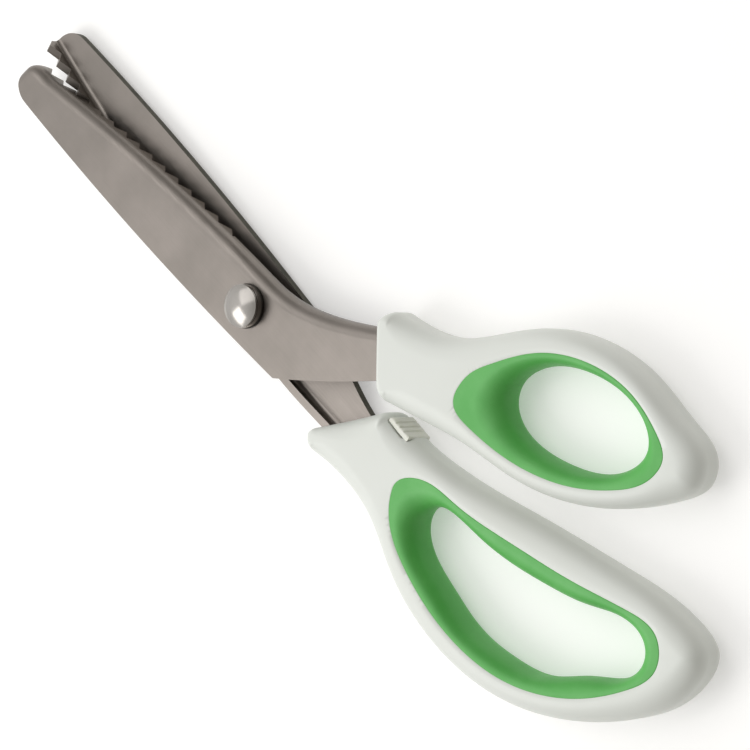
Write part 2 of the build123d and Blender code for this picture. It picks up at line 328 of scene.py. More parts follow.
def resample(loop: np.ndarray, count: int) -> np.ndarray:
    """Evenly spaced points along a smooth curve through a closed outline's points.

    Args:
        loop: the outline's own points.
        count: how many points to give.

    Returns:
        The new points, in the same order round.
    """
    place = run_length(loop)
    wanted = np.arange(count) * place[-1] / count
    index = np.clip(np.searchsorted(place, wanted, side="right") - 1, 0, len(loop) - 1)
    size = len(loop)
    steps = np.diff(place)
    share = ((wanted - place[index]) / steps[index])[:, None]
    before, here = loop[(index - 1) % size], loop[index]
    onward, beyond = loop[(index + 1) % size], loop[(index + 2) % size]
    gap = steps[index][:, None]
    gap_before, gap_beyond = steps[(index - 1) % size][:, None], steps[(index + 1) % size][:, None]
    slope_here = (onward - before) / (gap + gap_before) * gap
    slope_onward = (beyond - here) / (gap + gap_beyond) * gap
    square, cube = share**2, share**3
    return (
        (2 * cube - 3 * square + 1) * here
        + (cube - 2 * square + share) * slope_here
        + (3 * square - 2 * cube) * onward
        + (cube - square) * slope_onward
    )


def fair(loop: np.ndarray, waves: int) -> np.ndarray:
    """A closed outline with every ripple shorter than a number of waves round it smoothed away.

    Args:
        loop: evenly spaced points of the outline.
        waves: the most waves round the outline that stay in it.

    Returns:
        As many points, on the smoothed outline.
    """
    spectrum = np.fft.fft(loop[:, 0] + 1j * loop[:, 1])
    numbers = np.abs(np.fft.fftfreq(len(loop), 1 / len(loop)))
    smooth = np.fft.ifft(np.where(numbers <= waves, spectrum, 0))
    return np.column_stack([smooth.real, smooth.imag])


def outward(loop: np.ndarray) -> np.ndarray:
    """Unit normals that point out of an anticlockwise outline.

    Args:
        loop: the outline's points, in order.

    Returns:
        One normal for each point.
    """
    along = np.roll(loop, -1, axis=0) - np.roll(loop, 1, axis=0)
    along /= np.hypot(*along.T)[:, None]
    return np.stack([along[:, 1], -along[:, 0]], axis=1)


def bend(loop: np.ndarray) -> np.ndarray:
    """Curvature of an anticlockwise outline at each point, positive where it bulges outwards.

    Args:
        loop: the outline's points, in order.

    Returns:
        One curvature for each point, per metre.
    """
    into = loop - np.roll(loop, 1, axis=0)
    out = np.roll(loop, -1, axis=0) - loop
    return turning(loop) / ((np.hypot(*into.T) + np.hypot(*out.T)) / 2)


def nearest(points: np.ndarray, others: np.ndarray) -> np.ndarray:
    """Distance from each point to the nearest of the others."""
    return np.sqrt(((points[:, None, :] - others[None, :, :]) ** 2).sum(axis=2).min(axis=1))


def eased(widths: np.ndarray, passes: int) -> np.ndarray:
    """Smooths widths round a loop, hardly letting any of them grow.

    Args:
        widths: one width for each station.
        passes: how many times each is drawn towards its neighbours.

    Returns:
        The smoothed widths.
    """
    result = widths.copy()
    for _ in range(passes):
        result = np.minimum(result, (np.roll(result, 1) + 2 * result + np.roll(result, -1)) / 4)
    for _ in range(passes // 2):
        result = (np.roll(result, 1) + 2 * result + np.roll(result, -1)) / 4
    return np.minimum(result, 1.05 * widths)


# ------------------------------------------------------------------------------------------ finishes


@dataclass(frozen=True)
class Finish:
    """A material and how its surface was made.

    Attributes:
        name: the material's name.
        colour: main colour, sRGB hex.
        tint: second colour that the main one drifts to in soft patches.
        roughness: how matt the surface is.
        roughness_spread: how far the roughness drifts either way.
        metallic: one for bare metal.
        ior: refractive index, for plastics.
        patch: size of the soft patches of colour, in millimetres.
        grain: size of the fine texture, in millimetres, along X, Y and Z.
        relief: depth of the fine texture, in millimetres.
    """

    name: str
    colour: str
    tint: str
    roughness: float
    metallic: float = 0.0
    ior: float = 1.5
    patch: float = 20.0
    grain: tuple[float, float, float] = (0.4, 0.4, 0.4)
    relief: float = 0.01
    roughness_spread: float = 0.05

    def colours(self, tree: bpy.types.NodeTree, place: bpy.types.NodeSocket) -> bpy.types.NodeSocket:
        """The surface colour, drifting softly between the main colour and the tint.

        Args:
            tree: the material's node tree.
            place: the object coordinates.

        Returns:
            The socket that gives the colour.
        """
        cloud = add_node(
            tree,
            "ShaderNodeTexNoise",
            {"Vector": place, "Scale": 1 / (self.patch * MM), "Detail": 3.0, "Roughness": 0.55},
        )
        ramp = add_node(tree, "ShaderNodeValToRGB", {"Fac": cloud.outputs["Fac"]})
        ramp.color_ramp.elements[0].position = 0.35
        ramp.color_ramp.elements[0].color = hex_to_linear(self.colour)
        ramp.color_ramp.elements[1].position = 0.7
        ramp.color_ramp.elements[1].color = hex_to_linear(self.tint)
        return ramp.outputs["Color"]

    def build(self) -> bpy.types.Material:
        """Makes the material from nodes on object coordinates.

        Returns:
            The finished material.
        """
        material = bpy.data.materials.new(self.name)
        material.use_nodes = True
        tree = material.node_tree
        shader = next(n for n in tree.nodes if n.type == "BSDF_PRINCIPLED")
        place = add_node(tree, "ShaderNodeTexCoord").outputs["Object"]
        shader.inputs["Metallic"].default_value = self.metallic
        if not self.metallic:
            shader.inputs["IOR"].default_value = self.ior
        tree.links.new(self.colours(tree, place), shader.inputs["Base Color"])
        stretched = add_node(
            tree, "ShaderNodeMapping", {"Vector": place, "Scale": [1 / (size * MM) for size in self.grain]}
        )
        texture = add_node(
            tree, "ShaderNodeTexNoise", {"Vector": stretched.outputs["Vector"], "Scale": 1.0, "Detail": 2.0}
        )
        spread = add_node(
            tree,
            "ShaderNodeMapRange",
            {
                "Value": texture.outputs["Fac"],
                "From Min": 0.3,
                "From Max": 0.7,
                "To Min": self.roughness - self.roughness_spread,
                "To Max": self.roughness + self.roughness_spread,
            },
        )
        tree.links.new(spread.outputs["Result"], shader.inputs["Roughness"])
        bump = add_node(
            tree,
            "ShaderNodeBump",
            {"Height": texture.outputs["Fac"], "Distance": self.relief * MM, "Strength": 1.0},
        )
        tree.links.new(bump.outputs["Normal"], shader.inputs["Normal"])
        self.finish_off(tree, shader, place)
        return material

    def finish_off(
        self, tree: bpy.types.NodeTree, shader: bpy.types.Node, place: bpy.types.NodeSocket
    ) -> None:
        """Adds what only some finishes have."""


@dataclass(frozen=True)
class FrostedPlastic(Finish):
    """Clear plastic with a matt moulded face, which lets a little light through.

    Attributes:
        transmission: share of the light that passes through.
    """

    transmission: float = 0.12

    def finish_off(
        self, tree: bpy.types.NodeTree, shader: bpy.types.Node, place: bpy.types.NodeSocket
    ) -> None:
        """Sets the share of light that passes through."""
        shader.inputs["Transmission Weight"].default_value = self.transmission


# 304 stainless sheet, belt ground: a warm grey satin with soft cloudy patches.
SATIN_STEEL = Finish(
    name="satin_stainless_sheet",
    colour="#817b75",
    tint="#8d8680",
    roughness=0.4,
    metallic=1.0,
    patch=16.0,
    grain=(14.0, 0.3, 0.3),
    relief=0.003,
    roughness_spread=0.06,
)
# The same sheet where it was sheared: torn and rougher, and darker in colour as a painted dark reflection.
SHEARED_STEEL_AND_DARK_REFLECTION = Finish(
    name="sheared_edge_painted_dark_reflection",
    colour="#55534a",
    tint="#47463e",
    roughness=0.55,
    metallic=1.0,
    patch=3.0,
    grain=(0.2, 0.2, 1.5),
    relief=0.012,
)
# The flange's outside and the teeth, wheel ground: a cleaner face than the plate, slightly darker in colour
# as painted shade.
GROUND_STEEL_AND_SHADE = Finish(
    name="ground_flange_painted_shade",
    colour="#79736d",
    tint="#827c75",
    roughness=0.34,
    metallic=1.0,
    patch=10.0,
    grain=(0.15, 0.15, 2.5),
    relief=0.003,
)
# Nickel-plated steel, buffed: bright, with soft-edged reflections.
BUFFED_STEEL = Finish(
    name="buffed_nickel_steel",
    colour="#9d9994",
    tint="#a7a39e",
    roughness=0.2,
    metallic=1.0,
    patch=6.0,
    grain=(0.3, 0.3, 0.3),
    relief=0.001,
    roughness_spread=0.03,
)
# Blackened spring steel, on the spring washer; on the head washer the black is painted shade, the thin dark
# line round the head.
BLACK_STEEL_AND_SHADE = Finish(
    name="blackened_steel_and_painted_shade",
    colour="#3a3834",
    tint="#45423d",
    roughness=0.4,
    metallic=1.0,
    patch=4.0,
    relief=0.002,
)
# Natural nylon 66, turned: a milky matt ring.
NYLON = Finish(
    name="natural_nylon",
    colour="#d8d4c4",
    tint="#cfcab8",
    roughness=0.5,
    ior=1.53,
    patch=4.0,
    relief=0.004,
)
# ABS, injection moulded in a fine-blasted tool: cool white, low sheen.
WHITE_ABS = Finish(
    name="moulded_white_abs",
    colour="#dcdfd9",
    tint="#d8dbd4",
    roughness=0.42,
    ior=1.54,
    patch=35.0,
    grain=(0.5, 0.5, 0.5),
    relief=0.006,
)
# Thermoplastic rubber, moulded: soft satin green with a finely dusted look.
GREEN_TPR = Finish(
    name="moulded_green_tpr",
    colour="#55ad50",
    tint="#62b55d",
    roughness=0.5,
    ior=1.5,
    patch=9.0,
    grain=(0.35, 0.35, 0.35),
    relief=0.012,
)
# Soft PVC, moulded clear with a frosted face: a pale, slightly yellow block.
FROSTED_PVC = FrostedPlastic(
    name="frosted_clear_pvc",
    colour="#f6f6ee",
    tint="#f0f1e4",
    roughness=0.42,
    ior=1.53,
    patch=3.0,
    relief=0.01,
)


# ------------------------------------------------------------------------------------------ mesh building


class Ladder:
    """A mesh of rings with the same number of points, joined one after the other."""

    def __init__(self, name: str, first: np.ndarray) -> None:
        """Starts from a circle primitive that takes the first ring's shape.

        Args:
            name: the new piece's name.
            first: the first ring's points, in metres, with a column each for X, Y and Z.
        """
        self.count = len(first)
        deselect_all()
        bpy.ops.mesh.primitive_circle_add(vertices=self.count, radius=1.0)
        self.piece = bpy.context.active_object
        self.piece.name = name
        self.piece.data.name = name
        self._place(first)

    def _place(self, ring: np.ndarray) -> None:
        """Moves the selected ring of the mesh, which is its newest, onto the points given.

        Args:
            ring: a place for each point of the ring.
        """
        newest = self.piece.data.vertices[-self.count :]
        for vertex, place in zip(newest, ring):
            vertex.co = place

    def climb(self, rings: list[np.ndarray]) -> None:
        """Extrudes the newest ring once for each further ring and shapes it.

        Args:
            rings: the further rings, in order.
        """
        for ring in rings:
            only(self.piece)
            bpy.ops.object.mode_set(mode="EDIT")
            bpy.ops.mesh.extrude_edges_move()
            bpy.ops.object.mode_set(mode="OBJECT")
            self._place(ring)


def ring_at(plan: np.ndarray, heights: np.ndarray | float) -> np.ndarray:
    """Plan points with a height each, as points in space."""
    return np.column_stack([plan, np.broadcast_to(heights, len(plan))])


def fill_between(piece: bpy.types.Object, height: float) -> None:
    """Fills the level ring-shaped gap between the open edges that lie at one height.

    Args:
        piece: the object with the gap.
        height: the height of the open edges, in metres.
    """
    only(piece)
    bpy.ops.object.mode_set(mode="EDIT")
    bpy.ops.mesh.select_all(action="DESELECT")
    bpy.ops.mesh.select_mode(type="EDGE")
    bpy.ops.mesh.select_non_manifold(extend=False, use_boundary=True, use_wire=False)
    bpy.ops.object.mode_set(mode="OBJECT")
    for edge in piece.data.edges:
        ends = [piece.data.vertices[i].co.z for i in edge.vertices]
        if edge.select and max(abs(z - height) for z in ends) > MERGE:
            edge.select = False
    bpy.ops.object.mode_set(mode="EDIT")
    bpy.ops.mesh.fill(use_beauty=True)
    bpy.ops.mesh.select_mode(type="VERT")
    bpy.ops.object.mode_set(mode="OBJECT")


def join(pieces: list[bpy.types.Object]) -> bpy.types.Object:
    """Joins objects into the first of them.

    Args:
        pieces: the objects to join.

    Returns:
        The first of them, which now holds all.
    """
    only(pieces[0])
    for piece in pieces[1:]:
        piece.select_set(True)
    bpy.ops.object.join()
    return pieces[0]


def shade(piece: bpy.types.Object, degrees: float = 32.0) -> None:
    """Shades a piece smooth up to an angle, with its large flat faces kept flat.

    Args:
        piece: the object.
        degrees: an edge sharper than this stays sharp.
    """
    only(piece)
    bpy.ops.object.shade_smooth_by_angle(angle=math.radians(degrees))
    weigh = piece.modifiers.new("weigh", "WEIGHTED_NORMAL")
    weigh.keep_sharp = True
    bpy.ops.object.modifier_apply(modifier=weigh.name)


def prism(name: str, outline: np.ndarray, low: float, high: float) -> bpy.types.Object:
    """An upright prism over a plan outline.

    Args:
        name: the new object's name.
        outline: plan points in order.
        low: height of one end face.
        high: height of the other.

    Returns:
        The closed prism.
    """
    deselect_all()
    bpy.ops.mesh.primitive_circle_add(vertices=len(outline), radius=1.0, fill_type="NGON")
    piece = bpy.context.active_object
    piece.name = name
    for vertex, place in zip(piece.data.vertices, outline):
        vertex.co = (place[0], place[1], low)
    only(piece)
    bpy.ops.object.mode_set(mode="EDIT")
    bpy.ops.mesh.select_all(action="SELECT")
    bpy.ops.mesh.extrude_region_move(TRANSFORM_OT_translate={"value": (0, 0, high - low)})
    turn_outwards()
    return piece


def combine(piece: bpy.types.Object, tool: bpy.types.Object, operation: str) -> None:
    """Applies a boolean of two closed objects to the first and removes the second.

    Args:
        piece: the object that is changed.
        tool: the object that changes it.
        operation: Blender's name for the boolean.
    """
    boolean = piece.modifiers.new("combine", "BOOLEAN")
    boolean.operation = operation
    boolean.solver = "EXACT"
    boolean.object = tool
    only(piece)
    bpy.ops.object.modifier_apply(modifier=boolean.name)
    bpy.data.objects.remove(tool)


# ------------------------------------------------------------------------------------------ pressed blades


@dataclass
class PressedBlade:
    """A blade pressed from sheet: flat plate, rounded bend and toothed flange.

    Attributes:
        node: the CAD node that it stands for.
        body: CAD body that it rides on.
        side: +1 for the upper blade, whose flange hangs down, -1 for the lower.
        sheet: thickness, in millimetres, as are all sizes here.
        bend_radius: outside radius of the bend.
        rest_angle: the blade's turn away from the closing line, in degrees.
        tooth_pitch: crest to crest.
        tooth_depth: crest to root.
        tooth_clearance: between the two zigzags.
        first_crest: radius of the innermost crest.
        heel_relief: how far behind the teeth the flange stays from the middle plane.
        edge_round: rounding that deburring leaves on every edge.
        spacing: between points along the outline.
        chin_turn: the flange line runs on round corners of less than this, in degrees.
        look_at: how far along the blade its two flange lines are told apart.
        overshoot: how far a cutting shape reaches past the blade's ends.
        reach: how far it reaches past the blade's back.
        bend_segments: flats over each bend.
        sector_start: degrees behind the blade's own line where the tooth rings begin.
        sector: degrees that the tooth rings sweep.
        sector_steps: flats over that sweep.
    """

    node: str
    body: str
    side: int
    sheet: float = 1.8
    bend_radius: float = 3.0
    rest_angle: float = 1.5
    tooth_pitch: float = 5.0
    tooth_depth: float = 2.2
    tooth_clearance: float = 0.1
    first_crest: float = 17.7
    heel_relief: float = 0.4
    edge_round: float = 0.12
    spacing: float = 0.8
    chin_turn: float = 40.0
    look_at: float = 30.0
    overshoot: float = 12.0
    reach: float = 60.0
    bend_segments: int = 10
    sector_start: float = 50.0
    sector: float = 60.0
    sector_steps: int = 48
    plate_outer: float = field(init=False)
    middle: float = field(init=False)
    outer: np.ndarray = field(init=False)
    inner: np.ndarray = field(init=False)
    blank: np.ndarray = field(init=False)
    holes: list[np.ndarray] = field(init=False)

    def height(self, above: float) -> float:
        """Height in the frame of a distance from the middle plane towards this blade's plate."""
        return self.middle + self.side * above * MM

    def measure(self, frame: dict) -> None:
        """Reads the outlines and heights from the CAD node.
        """
        low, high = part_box(self.node)
        crest = (self.tooth_depth - self.tooth_clearance) / 2
        self.plate_outer = (high.z - low.z) / MM - crest
        self.middle = low.z + crest * MM if self.side > 0 else high.z - crest * MM
        just_inside = 0.003  # keeps the section off the seam between the bend and the flange
        bend_end = self.plate_outer - self.bend_radius + just_inside
        strip = cut_loops(frame["nodes"][self.node], self.height(bend_end))[0]
        mid_plate = self.height(self.plate_outer - self.sheet / 2)
        plate, *holes = cut_loops(frame["nodes"][self.node], mid_plate)
        runs = split_runs(strip, self.chin_turn)
        runs = sorted(runs, key=lambda run: -np.hypot(*np.diff(run, axis=0).T).sum())[:2]
        # The flange's outside is the line further from the plate.
        to_plate = float(np.sign(plate[:, 1].mean() - runs[0][:, 1].mean()))
        runs.sort(key=lambda run: to_plate * run[np.abs(run[:, 0] - self.look_at * MM).argmin(), 1])
        self.outer, self.inner = (smooth_run(run, self.spacing * MM) for run in runs)
        plain = plate[nearest(plate, self.outer) > 1.0 * MM]
        gaps = np.hypot(*(np.roll(plain, -1, axis=0) - plain).T)
        plain = np.roll(plain, -1 - int(gaps.argmax()), axis=0)
        line = self.outer
        if math.dist(line[0], plain[-1]) > math.dist(line[-1], plain[-1]):
            line = line[::-1]
        whole = np.vstack([line, plain])
        pieces = [smooth_run(run, self.spacing * MM)[:-1] for run in split_runs(whole)]
        self.blank = np.vstack(pieces)
        self.holes = holes

    def beyond(self, line: np.ndarray) -> np.ndarray:
        """A region that a flange line bounds on one side and that passes the blade on all others.

        Args:
            line: the flange line's points, in order.

        Returns:
            The region's outline, with the flange line's points first and its two far corners last.
        """
        overshoot = self.overshoot * MM
        if line[0, 0] > line[-1, 0]:
            line = line[::-1]
        start = line[0] + (line[0] - line[1]) / math.dist(line[0], line[1]) * overshoot
        end = line[-1] + (line[-1] - line[-2]) / math.dist(line[-1], line[-2]) * overshoot
        far = self.side * self.reach * MM
        return np.vstack([[start], line, [end], [(end[0], far), (start[0] - overshoot, far)]])

    def bent(
        self, name: str, line: np.ndarray, low: float, high: float, radius: float
    ) -> bpy.types.Object:
        """A solid over the region beyond a flange line, with its long edge rounded to a bend's radius.

        Args:
            name: the new object's name.
            line: the flange line's points.
            low: height of the open end, from the middle plane towards the plate, in millimetres.
            high: height of the end with the bend.
            radius: radius of the bend, in millimetres.

        Returns:
            The closed solid.
        """
        region = self.beyond(line)
        piece = prism(name, region, self.height(low), self.height(high))
        only(piece)
        bpy.ops.object.mode_set(mode="EDIT")
        bpy.ops.mesh.select_mode(type="EDGE")
        bpy.ops.mesh.select_all(action="DESELECT")
        bpy.ops.object.mode_set(mode="OBJECT")
        points = np.array([vertex.co[:] for vertex in piece.data.vertices])
        at_top = np.abs(points[:, 2] - self.height(high)) < MERGE
        on_line = nearest(points[:, :2], region[:-2]) < MERGE
        chosen = at_top & on_line
        for edge in piece.data.edges:
            edge.select = bool(chosen[edge.vertices[0]] and chosen[edge.vertices[1]])
        bpy.ops.object.mode_set(mode="EDIT")
        rounding = {"offset": radius * MM, "segments": self.bend_segments}
        bpy.ops.mesh.bevel(**rounding, affect="EDGES", clamp_overlap=False)
        bpy.ops.mesh.select_mode(type="VERT")
        bpy.ops.object.mode_set(mode="OBJECT")
        return piece

    def tooth_cutter(self) -> bpy.types.Object:
        """What is cut away beyond the zigzag: a profile spun about the pivot.

        Returns:
            The closed cutter.
        """
        reach = max(math.hypot(*point) for point in self.blank) / MM
        count = 2 * (math.ceil((reach - self.first_crest) / self.tooth_pitch) + 1)
        below = -self.tooth_depth - 4
        crests = [
            (self.first_crest + i * self.tooth_pitch / 2, self.side * (1 - 2 * (i % 2)))
            for i in range(count)
        ]
        zigzag = [(r, (sign * self.tooth_depth + self.tooth_clearance) / 2) for r, sign in crests]
        meet = self.first_crest - 0.05  # far enough in to meet the heel's cut
        profile = [(meet, below), (meet, zigzag[0][1]), *zigzag, (zigzag[-1][0], below)]
        start = math.radians(self.side * (self.rest_angle - self.sector_start))
        deselect_all()
        bpy.ops.mesh.primitive_circle_add(vertices=len(profile), radius=1.0, fill_type="NGON")
        cutter = bpy.context.active_object
        for vertex, (radius, above) in zip(cutter.data.vertices, profile):
            vertex.co = (radius * MM * math.cos(start), radius * MM * math.sin(start), self.height(above))
        only(cutter)
        bpy.ops.object.mode_set(mode="EDIT")
        bpy.ops.mesh.select_all(action="SELECT")
        sweep = math.radians(self.side * self.sector)
        bpy.ops.mesh.spin(steps=self.sector_steps, angle=-sweep, center=(0, 0, 0), axis=(0, 0, 1))
        turn_outwards()
        return cutter

    def heel_cutter(self) -> bpy.types.Object:
        """What is cut away behind the teeth, inside the innermost crest.

        Returns:
            The closed cutter.
        """
        arc = np.radians(np.linspace(-90, 90, 49))
        front = np.column_stack([np.cos(arc), np.sin(arc)]) * self.first_crest
        back = np.array([(0, 90), (-180, 90), (-180, -90), (0, -90)])
        turn = math.radians(self.side * self.rest_angle)
        spin = np.array([[math.cos(turn), math.sin(turn)], [-math.sin(turn), math.cos(turn)]])
        outline = np.vstack([front, back]) @ spin * MM
        return prism("heel_cutter", outline, self.height(-8), self.height(self.heel_relief))

    def build(self, frame: dict, materials: tuple[bpy.types.Material, ...]) -> None:
        """Makes, dresses and seats the blade.

        Args:
            materials: for the satin faces, the sheared edges with their painted dark reflection, and the
                ground flange with its painted shade.
        """
        self.measure(frame)
        inside = self.plate_outer - self.sheet
        crest = (self.tooth_clearance - self.tooth_depth) / 2
        blade = self.bent(f"{self.node}_pressing", self.outer, crest - 1, self.plate_outer, self.bend_radius)
        blank = prism("blank", self.blank, self.height(crest - 2), self.height(self.plate_outer + 1))
        combine(blade, blank, "INTERSECT")
        hollow_radius = self.bend_radius - self.sheet
        combine(blade, self.bent("hollow", self.inner, crest - 3, inside, hollow_radius), "DIFFERENCE")
        combine(blade, self.tooth_cutter(), "DIFFERENCE")
        combine(blade, self.heel_cutter(), "DIFFERENCE")
        for hole in self.holes:
            through = (self.height(inside - 1), self.height(self.plate_outer + 1))
            combine(blade, prism("hole", resample(hole, 96), *through), "DIFFERENCE")
        self.round_edges(blade)
        self.dress(blade, materials)
        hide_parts(self.node)
        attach(blade, self.body)
        LOG.info("%s: %d faces", blade.name, len(blade.data.polygons))

    def round_edges(self, blade: bpy.types.Object) -> None:
        """Cleans the pressing's faces and rounds its edges as deburring does.

        Args:
            blade: the pressing.
        """
        only(blade)
        bpy.ops.object.mode_set(mode="EDIT")
        bpy.ops.mesh.select_all(action="SELECT")
        bpy.ops.mesh.remove_doubles(threshold=0.003 * MM)
        bpy.ops.mesh.dissolve_limited(angle_limit=math.radians(0.2))
        turn_outwards()
        bevel = blade.modifiers.new("deburr", "BEVEL")
        bevel.width = self.edge_round * MM
        bevel.segments = 2
        bevel.limit_method = "ANGLE"
        bevel.angle_limit = math.radians(50)
        bevel.use_clamp_overlap = True
        only(blade)
        bpy.ops.object.modifier_apply(modifier=bevel.name)
        shade(blade, 30.0)

    def dress(self, blade: bpy.types.Object, materials: tuple[bpy.types.Material, ...]) -> None:
        """Gives the faces, the sheared edges and the ground flange their finishes, with a painted dark
        reflection on the sheared edges and painted shade on the ground flange.

        Args:
            blade: the pressing.
            materials: for the satin faces, the sheared edges with their painted dark reflection, and the
                ground flange with its painted shade.
        """
        blade.data.materials.clear()
        for material in materials:
            blade.data.materials.append(material)
        centres = np.array([face.center[:] for face in blade.data.polygons])
        upright = np.array([abs(face.normal.z) < 0.4 for face in blade.data.polygons])
        above = (centres[:, 2] - self.middle) / MM * self.side
        from_line = nearest(centres[:, :2], self.outer) / MM
        in_plate = above > self.plate_outer - self.sheet - 0.1
        # The plate's upright cut edges get a darker colour: a painted dark reflection.
        sheared_and_dark_reflection = upright & in_plate & (from_line > 1.9)
        # The flange's outside and the teeth get a slightly darker colour: painted shade.
        ground_and_shaded = (above < self.plate_outer - self.bend_radius) & (from_line < 0.6)
        slots = np.where(sheared_and_dark_reflection, 1, np.where(ground_and_shaded, 2, 0))
        for face, slot in zip(blade.data.polygons, slots):
            face.material_index = int(slot)


# ------------------------------------------------------------------------------------------ handles


@dataclass
class LoopHandle:
    """A moulded handle: the white shell with its collar, and the soft insert round the opening.

    Attributes:
        shell_node: CAD node of the shell.
        grip_node: CAD node of the insert.
        blade_node: CAD node of the blade whose tang the shell holds.
        body: CAD body that both ride on.
        opening_waves: how finely the opening's outline follows the CAD's, in waves round it.
        rim_width: how far in from the side the outer rim starts to fall, in millimetres.
        rim_drop: how far down the side the rim's rounding runs.
        collar_rim: rounding of the collar's front face.
        lip_width: how far out from the opening the insert starts to fall.
        under_radius: rounding of the outer rim on the under side.
        under_lip: the insert's lip width on the under side.
        parting: width and depth of the fine groove between shell and insert.
        stations: points round each loop.
        steps: points over each rounding.
        ease_passes: smoothing passes over the widths of the insert's lip.
    """

    shell_node: str
    grip_node: str
    blade_node: str
    body: str
    opening_waves: int
    rim_width: float = 5.2
    rim_drop: float = 4.2
    collar_rim: float = 1.3
    lip_width: float = 6.5
    under_radius: float = 3.9
    under_lip: float = 3.4
    parting: float = 0.12
    stations: int = 360
    steps: int = 10
    ease_passes: int = 60
    half: float = field(init=False)
    middle: float = field(init=False)
    outer: np.ndarray = field(init=False)
    seam: np.ndarray = field(init=False)
    opening: np.ndarray = field(init=False)

    @property
    def holds_bumper(self) -> bool:
        """Whether the shell has the notch that the bumper sits in."""
        return self.body == "finger_side"

    def measure(self, frame: dict) -> None:
        """Reads the outlines and the thickness from the CAD nodes.
        """
        low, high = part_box(self.grip_node)
        self.half = (high.z - low.z) / 2
        self.middle = (high.z + low.z) / 2
        outer = cut_loops(frame["nodes"][self.shell_node], self.middle)[0]
        outer = self.without_notch(outer)
        seam, opening = cut_loops(frame["nodes"][self.grip_node], self.middle)[:2]
        self.outer = resample(outer, self.stations)
        self.seam = resample(seam, self.stations)
        self.opening = fair(resample(opening, self.stations), self.opening_waves)

    def without_notch(self, loop: np.ndarray) -> np.ndarray:
        """The shell's outline with the bumper's notch bridged over.

        Args:
            loop: the outline of the shell's section.

        Returns:
            The outline without the points of the notch.
        """
        if not self.holds_bumper:
            return loop
        low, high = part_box("stop_bumper")
        margin = 0.05 * MM
        inside = (
            (loop[:, 0] > low.x - margin)
            & (loop[:, 0] < high.x + margin)
            & (loop[:, 1] > low.y - margin)
            & (loop[:, 1] < high.y + margin)
        )
        return loop[~inside]

    def rim_sizes(self) -> tuple[np.ndarray, np.ndarray]:
        """Width and drop of the outer rim's rounding at each station.

        Returns:
            The widths and the drops, in metres.
        """
        normals = outward(self.outer)
        to_pivot = -self.outer / np.hypot(*self.outer.T)[:, None]
        facing = np.clip(((normals * to_pivot).sum(axis=1) - 0.8) / 0.12, 0, 1)
        widths = (self.rim_width * (1 - facing) + self.collar_rim * facing) * MM
        drops = (self.rim_drop * (1 - facing) + self.collar_rim * facing) * MM
        curve = bend(self.outer)
        tight = np.where(curve > 0, 0.85 / np.maximum(curve, 1e-6), np.inf)
        room = 0.8 * nearest(self.outer, self.seam)
        return eased(np.minimum(np.minimum(eased(widths, 6), tight), room), 30), eased(drops, 8)

    def rounding(
        self, loop: np.ndarray, normals: np.ndarray, widths: np.ndarray, drops: np.ndarray
    ) -> list[np.ndarray]:
        """Rings of a quarter-round from the level top down to the side.

        Args:
            loop: the side's plan outline.
            normals: unit vectors that point from the material out through the side.
            widths: how far back from the side the rounding starts, at each station.
            drops: how far down the side it ends.

        Returns:
            The rings for the upper half, from the top down, with Z measured from the middle.
        """
        rings = []
        for angle in np.linspace(math.pi / 2, 0, self.steps + 1):
            plan = loop - normals * (widths * (1 - math.cos(angle)))[:, None]
            rings.append(ring_at(plan, self.half - drops * (1 - math.sin(angle))))
        return rings

    def skin(self, name: str, upper: list[np.ndarray], under: list[np.ndarray]) -> bpy.types.Object:
        """A wall from the upper rings to the under side's, which are given as if they were upper ones.

        Args:
            name: the new object's name.
            upper: rings from the top down, with Z measured from the middle.
            under: the same for the under side.

        Returns:
            The open wall.
        """
        lower = [ring * (1, 1, -1) for ring in reversed(under)]
        lifted = [ring + (0, 0, self.middle) for ring in upper + lower]
        ladder = Ladder(name, lifted[0])
        ladder.climb(lifted[1:])
        return ladder.piece

    def parting_rings(self, loop: np.ndarray, normals: np.ndarray) -> list[np.ndarray]:
        """A straight wall with a small chamfer at the seam between shell and insert."""
        back = loop - normals * self.parting * MM
        return [ring_at(back, self.half), ring_at(loop, self.half - self.parting * MM)]

    def shape(self, name: str, walls: list[bpy.types.Object]) -> bpy.types.Object:
        """Joins two walls, closes the level faces between them and turns the faces outwards.

        Args:
            name: the piece's name.
            walls: the outer and the inner wall.

        Returns:
            The closed piece.
        """
        piece = join(walls)
        piece.name = name
        for side in (1, -1):
            fill_between(piece, self.middle + side * self.half)
        only(piece)
        bpy.ops.object.mode_set(mode="EDIT")
        bpy.ops.mesh.select_all(action="SELECT")
        bpy.ops.mesh.remove_doubles(threshold=MERGE)
        turn_outwards()
        return piece

    def build_shell(self, frame: dict) -> bpy.types.Object:
        """Models the white shell, with the seats for the tang and the bumper cut out of it.


        Returns:
            The shell.
        """
        widths, drops = self.rim_sizes()
        normals = outward(self.outer)
        under = (np.minimum(widths, self.under_radius * MM), np.minimum(drops, self.under_radius * MM))
        upper_rim = self.rounding(self.outer, normals, widths, drops)
        side = self.skin("rim", upper_rim, self.rounding(self.outer, normals, *under))
        parting = self.parting_rings(self.seam, -outward(self.seam))
        wall = self.skin("wall", parting, parting)
        shell = self.shape(f"{self.shell_node}_shell", [side, wall])
        combine(shell, copy_of(frame["nodes"][self.blade_node], "tang_cutter"), "DIFFERENCE")
        if self.holds_bumper:
            combine(shell, copy_of(frame["nodes"]["stop_bumper"], "notch_cutter"), "DIFFERENCE")
        shade(shell)
        return shell

